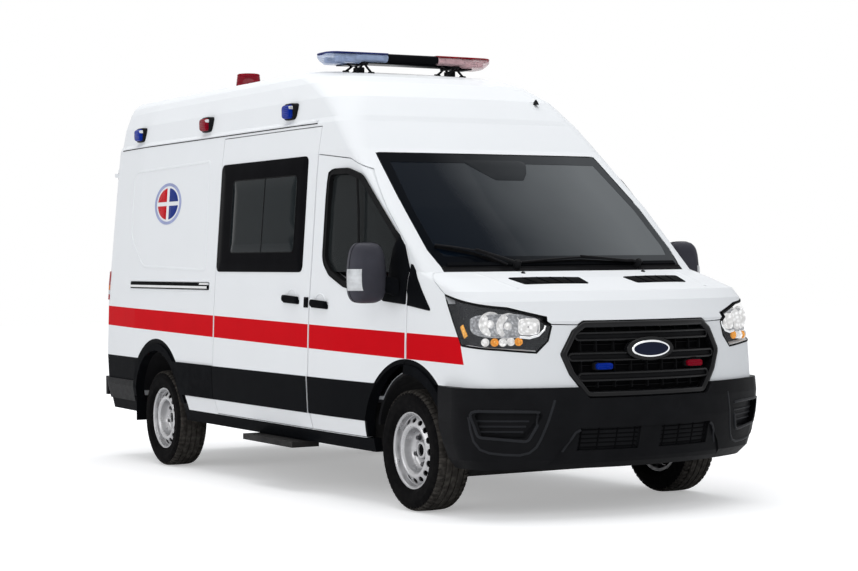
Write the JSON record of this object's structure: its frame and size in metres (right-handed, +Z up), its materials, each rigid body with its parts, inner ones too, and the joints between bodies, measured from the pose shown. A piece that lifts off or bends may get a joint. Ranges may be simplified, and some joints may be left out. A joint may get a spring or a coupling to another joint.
{
  "type": "ambulance",
  "caption": "High roof van ambulance with a light bar, white with a red stripe, black cladding, hinged doors and bonnet, and steered wheels that roll.",
  "frame": {"origin": "on the ground under the middle of the vehicle", "axes": "+X forward, +Y left, +Z up"},
  "size_m": [6.0096, 2.504, 2.9783],
  "materials": {
    "white_paint": "gloss",
    "black_plastic": "grained",
    "gloss_black": "gloss",
    "glass": "tinted",
    "lamp_glass": "clear",
    "blue_lens": "translucent",
    "red_lens": "translucent",
    "steel": "painted silver",
    "tyre": "matte",
    "dark_steel": "matte",
    "seat_fabric": "woven",
    "grey_floor": "satin"
  },
  "bodies": {
    "van": {"cab_frame": "white_paint", "dashboard": "black_plastic", "engine_block": "dark_steel", "floor": "grey_floor", "front_bumper": "black_plastic", "front_subframe": "dark_steel", "front_wing_left": "white_paint", "front_wing_right": "white_paint", "grille": "gloss_black", "lamps": "lamp_glass", "light_bar": "blue_lens", "rear_axle": "dark_steel", "rear_bumper": "black_plastic", "roof": "white_paint", "seats": "seat_fabric", "side_cladding": "black_plastic", "side_wall_left": "white_paint", "side_wall_right": "white_paint", "sliding_door": "white_paint", "sliding_door_glass": "glass", "underframe": "dark_steel", "warning_lamps": "red_lens", "windscreen": "glass"},
    "front_door_left": {"front_door_left": "white_paint", "front_door_glass_left": "glass", "mirror_left": "black_plastic"},
    "front_door_right": {"front_door_right": "white_paint", "front_door_glass_right": "glass", "mirror_right": "black_plastic"},
    "rear_door_left": {"rear_door_left": "white_paint", "rear_door_glass_left": "glass"},
    "rear_door_right": {"rear_door_right": "white_paint", "rear_door_glass_right": "glass"},
    "bonnet": {"bonnet": "white_paint"},
    "steering_wheel": {"steering_wheel": "black_plastic"},
    "knuckle_left": {"knuckle_left": "dark_steel"},
    "knuckle_right": {"knuckle_right": "dark_steel"},
    "wheel_front_left": {"rim_front_left": "steel", "tyre_front_left": "tyre"},
    "wheel_front_right": {"rim_front_right": "steel", "tyre_front_right": "tyre"},
    "wheel_rear_left": {"rim_rear_left": "steel", "tyre_rear_left": "tyre"},
    "wheel_rear_right": {"rim_rear_right": "steel", "tyre_rear_right": "tyre"}
  },
  "joints": [
    {"name": "front_door_left_hinge", "type": "hinge", "parent": "van", "child": "front_door_left", "pos_m": [1.9728, 1, 0.89977], "axis": [-0.016, 0, -0.9999], "range_deg": [0, 70]},
    {"name": "front_door_right_hinge", "type": "hinge", "parent": "van", "child": "front_door_right", "pos_m": [1.9728, -1, 0.89977], "axis": [0.016, 0, 0.9999], "range_deg": [0, 70]},
    {"name": "rear_door_left_hinge", "type": "hinge", "parent": "van", "child": "rear_door_left", "pos_m": [-2.93497, 0.85, 1.57838], "axis": [-0.016, 0, -0.9999], "range_deg": [0, 180]},
    {"name": "rear_door_right_hinge", "type": "hinge", "parent": "van", "child": "rear_door_right", "pos_m": [-2.93497, -0.85, 1.57838], "axis": [0.016, 0, 0.9999], "range_deg": [0, 180]},
    {"name": "bonnet_hinge", "type": "hinge", "parent": "van", "child": "bonnet", "pos_m": [2.16565, 0, 1.38875], "axis": [0, -1, 0], "range_deg": [0, 55]},
    {"name": "steer_right", "type": "hinge", "parent": "van", "child": "knuckle_right", "pos_m": [1.954, -0.8, 0.35], "axis": [0, 0, 1], "range_deg": [-35, 35]},
    {"name": "steer_left", "type": "hinge", "parent": "van", "child": "knuckle_left", "pos_m": [1.954, 0.8, 0.35], "axis": [0, 0, 1], "range_deg": [-35, 35]},
    {"name": "steering_wheel_turn", "type": "hinge", "parent": "van", "child": "steering_wheel", "pos_m": [1.49814, 0.43, 1.23741], "axis": [-0.4861, 0, 0.8739], "range_deg": [-495, 495]},
    {"name": "wheel_front_left_spin", "type": "hinge", "parent": "knuckle_left", "child": "wheel_front_left", "pos_m": [1.954, 0.866, 0.35], "axis": [0, 1, 0], "continuous": true},
    {"name": "wheel_front_right_spin", "type": "hinge", "parent": "knuckle_right", "child": "wheel_front_right", "pos_m": [1.954, -0.866, 0.35], "axis": [0, 1, 0], "continuous": true},
    {"name": "wheel_rear_left_spin", "type": "hinge", "parent": "van", "child": "wheel_rear_left", "pos_m": [-1.796, 0.866, 0.35], "axis": [0, 1, 0], "continuous": true},
    {"name": "wheel_rear_right_spin", "type": "hinge", "parent": "van", "child": "wheel_rear_right", "pos_m": [-1.796, -0.866, 0.35], "axis": [0, 1, 0], "continuous": true}
  ],
  "couplings": [
    {"joint": "steer_left", "follows": "steer_right", "ratio": 1},
    {"joint": "steering_wheel_turn", "follows": "steer_right", "ratio": 14}
  ]
}
